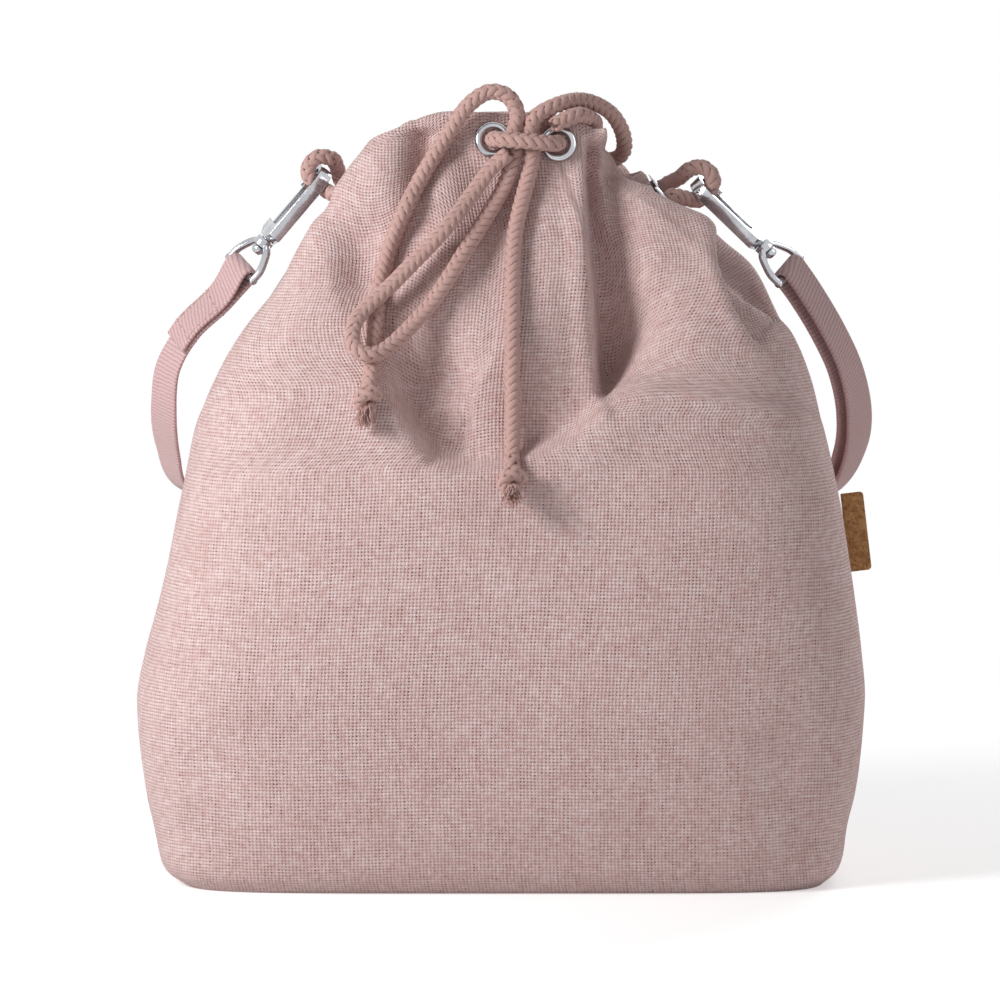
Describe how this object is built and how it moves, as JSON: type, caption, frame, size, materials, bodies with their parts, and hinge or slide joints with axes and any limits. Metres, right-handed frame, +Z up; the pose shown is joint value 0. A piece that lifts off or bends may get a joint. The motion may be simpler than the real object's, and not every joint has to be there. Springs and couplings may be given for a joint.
{
  "type": "drawstring bento bag",
  "caption": "Upright linen lunch bag with a flat base, corded drawstring mouth tied in a bow, metal eyelets, a clip-on webbing strap and a cork side label.",
  "frame": {"origin": "centre of the base, on the face it stands on", "axes": "+Z up, -Y towards the front with the bow, +X towards the side with the label"},
  "size_m": [0.2357, 0.1486, 0.2505],
  "materials": {
    "linen": "coarse plain weave, matt",
    "lining": "fine plain weave, matt",
    "cord": "round braid, matt",
    "webbing": "ribbed webbing, matt",
    "chrome": "bright plated",
    "cork": "cork, matt"
  },
  "bodies": {
    "bag": {"front_panel": "linen", "back_panel": "linen", "base_panel": "linen", "base_lining": "lining", "front_lining": "lining", "back_lining": "lining", "front_left_eyelet": "chrome", "front_left_washer": "chrome", "front_right_eyelet": "chrome", "front_right_washer": "chrome", "back_left_eyelet": "chrome", "back_left_washer": "chrome", "back_right_eyelet": "chrome", "back_right_washer": "chrome", "left_side_front_eyelet": "chrome", "left_side_front_washer": "chrome", "left_side_back_eyelet": "chrome", "left_side_back_washer": "chrome", "right_side_front_eyelet": "chrome", "right_side_front_washer": "chrome", "right_side_back_eyelet": "chrome", "right_side_back_washer": "chrome", "drawcord_front_run": "cord", "drawcord_back_run": "cord", "left_side_loop": "cord", "right_side_loop": "cord", "bow_left_loop": "cord", "bow_right_loop": "cord", "left_tail": "cord", "right_tail": "cord", "left_tail_knot": "cord", "right_tail_knot": "cord"},
    "strap": {"strap_webbing": "webbing", "left_strap_eye": "chrome", "right_strap_eye": "chrome"},
    "label": {"side_label": "cork"},
    "left_snap_hook": {"left_hook": "chrome", "left_gate_pin": "chrome", "left_gate_spring": "chrome", "left_swivel_stud": "chrome"},
    "left_snap_gate": {"left_gate": "chrome"},
    "right_snap_hook": {"right_hook": "chrome", "right_gate_pin": "chrome", "right_gate_spring": "chrome", "right_swivel_stud": "chrome"},
    "right_snap_gate": {"right_gate": "chrome"}
  },
  "joints": [
    {"name": "strap_swing", "type": "hinge", "parent": "bag", "child": "strap", "pos_m": [-0.0581, -0.002, 0.2196], "axis": [0.9997, 0, -0.0251], "range_deg": [0, 150], "deforming": ["left_side_loop", "right_side_loop"]},
    {"name": "left_swivel", "type": "hinge", "parent": "strap", "child": "left_snap_hook", "pos_m": [-0.07354, -0.00019, 0.20228], "axis": [-0.65, 0, -0.76], "range_deg": [-20, 20], "deforming": ["left_side_loop"]},
    {"name": "left_gate_press", "type": "hinge", "parent": "left_snap_hook", "child": "left_snap_gate", "pos_m": [-0.07277, 0.0037, 0.20478], "axis": [0.7344, 0.2571, -0.6281], "range_deg": [0, 10], "stiffness_Nm_per_rad": 0.01, "springref_deg": -5.73, "deforming": ["left_gate_spring", "left_side_loop"]},
    {"name": "right_swivel", "type": "hinge", "parent": "strap", "child": "right_snap_hook", "pos_m": [0.08228, -0.00019, 0.2008], "axis": [0.722, 0, -0.6919], "range_deg": [-20, 20], "deforming": ["right_side_loop"]},
    {"name": "right_gate_press", "type": "hinge", "parent": "right_snap_hook", "child": "right_snap_gate", "pos_m": [0.08127, 0.0037, 0.2032], "axis": [0.6687, -0.2571, 0.6977], "range_deg": [0, 10], "stiffness_Nm_per_rad": 0.01, "springref_deg": -5.73, "deforming": ["right_gate_spring", "right_side_loop"]},
    {"name": "label_flip", "type": "hinge", "parent": "bag", "child": "label", "pos_m": [0.11149, 0, 0.09558], "axis": [-0.1194, 0, 0.9929], "range_deg": [-40, 40], "stiffness_Nm_per_rad": 0.004}
  ]
}
